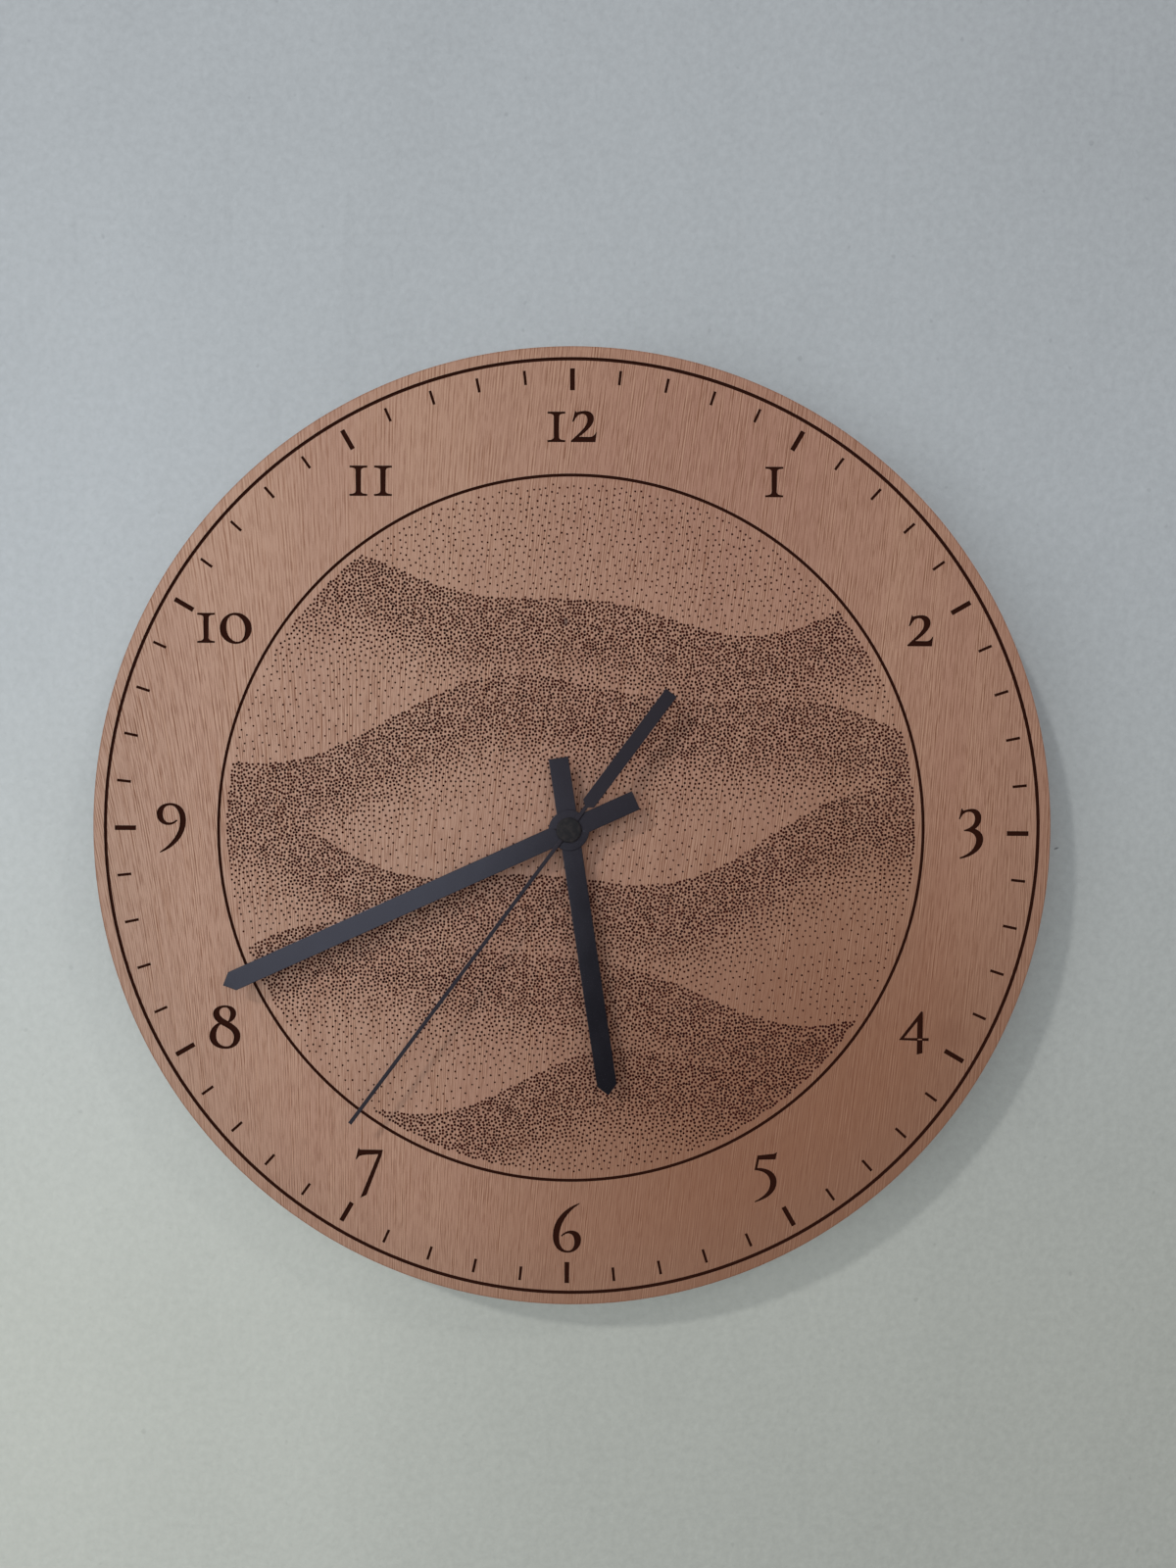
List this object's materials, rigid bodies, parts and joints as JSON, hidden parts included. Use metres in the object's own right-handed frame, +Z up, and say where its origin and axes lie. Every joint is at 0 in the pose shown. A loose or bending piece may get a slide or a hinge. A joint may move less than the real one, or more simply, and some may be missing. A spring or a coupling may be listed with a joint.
{
  "type": "wall clock",
  "caption": "Round wooden wall clock with an engraved dial, black stick hands and a one-cell quartz movement that hangs on a nail by a moulded eye.",
  "frame": {"origin": "on the hands' axis, on the plane that lies against the wall", "axes": "+X to the right seen from the front, +Y out of the back into the wall, +Z up towards twelve"},
  "size_m": [0.3, 0.0344, 0.3],
  "materials": {
    "oak": "sanded oak, oiled, with burnt engraving",
    "hand_black": "satin black paint on stamped sheet",
    "brass": "turned brass",
    "rubber": "matt black sheet rubber",
    "case_plastic": "black moulded plastic, fine texture",
    "wheel_plastic": "natural white acetal",
    "steel": "plated sheet steel",
    "copper": "enamelled copper wire",
    "magnet": "sintered magnet",
    "board": "glass-fibre board with green mask",
    "epoxy": "black potting drop",
    "cell_jacket": "plain printed jacket"
  },
  "bodies": {
    "case": {"dial_disc": "oak", "hex_nut": "brass", "flat_washer": "brass", "threaded_bush": "brass", "rubber_gasket": "rubber", "front_case": "case_plastic", "rear_cover": "case_plastic", "middle_plate": "wheel_plastic", "stator": "steel", "coil_core": "steel", "coil_bobbin": "wheel_plastic", "coil_winding": "copper", "circuit_board": "board", "quartz_crystal": "steel", "chip_cap": "epoxy", "cell": "cell_jacket", "positive_contact": "steel", "negative_contact": "steel"},
    "minute": {"minute_hand": "hand_black", "minute_pipe": "brass", "centre_wheel": "wheel_plastic", "clutch_spring": "steel"},
    "hour": {"hour_hand": "hand_black", "hour_wheel": "wheel_plastic"},
    "second": {"second_hand": "hand_black", "second_hand_collet": "brass", "seconds_wheel": "wheel_plastic", "seconds_arbor": "steel"},
    "third": {"third_wheel": "wheel_plastic"},
    "intermediate": {"intermediate_wheel": "wheel_plastic"},
    "rotor": {"rotor_pinion": "wheel_plastic", "rotor_magnet": "magnet"},
    "reverser": {"reverser_wheel": "wheel_plastic"},
    "setting": {"setting_wheel": "wheel_plastic", "set_knob": "case_plastic"}
  },
  "joints": [
    {"name": "minute_hand_turn", "type": "hinge", "parent": "case", "child": "minute", "pos_m": [0, 0, 0], "axis": [0, 1, 0], "continuous": true},
    {"name": "hour_hand_turn", "type": "hinge", "parent": "case", "child": "hour", "pos_m": [0, 0, 0], "axis": [0, 1, 0], "continuous": true},
    {"name": "second_hand_turn", "type": "hinge", "parent": "case", "child": "second", "pos_m": [0, 0, 0], "axis": [0, 1, 0], "continuous": true},
    {"name": "third_wheel_turn", "type": "hinge", "parent": "case", "child": "third", "pos_m": [-0.00803, 0, 0.00723], "axis": [0, 1, 0], "continuous": true},
    {"name": "intermediate_wheel_turn", "type": "hinge", "parent": "case", "child": "intermediate", "pos_m": [0.0036, 0, 0.00624], "axis": [0, 1, 0], "continuous": true},
    {"name": "rotor_turn", "type": "hinge", "parent": "case", "child": "rotor", "pos_m": [0.0056, 0, 0.01294], "axis": [0, 1, 0], "continuous": true},
    {"name": "reverser_wheel_turn", "type": "hinge", "parent": "case", "child": "reverser", "pos_m": [0.0089, 0, -0.00133], "axis": [0, 1, 0], "continuous": true},
    {"name": "set_knob_turn", "type": "hinge", "parent": "case", "child": "setting", "pos_m": [0.0178, 0, 0], "axis": [0, 1, 0], "continuous": true}
  ],
  "couplings": [
    {"joint": "hour_hand_turn", "follows": "minute_hand_turn", "ratio": 0.083333},
    {"joint": "second_hand_turn", "follows": "minute_hand_turn", "ratio": 60},
    {"joint": "third_wheel_turn", "follows": "minute_hand_turn", "ratio": -7.5},
    {"joint": "intermediate_wheel_turn", "follows": "minute_hand_turn", "ratio": -300},
    {"joint": "rotor_turn", "follows": "minute_hand_turn", "ratio": 1800},
    {"joint": "reverser_wheel_turn", "follows": "minute_hand_turn", "ratio": -0.33333},
    {"joint": "set_knob_turn", "follows": "minute_hand_turn", "ratio": 1}
  ]
}
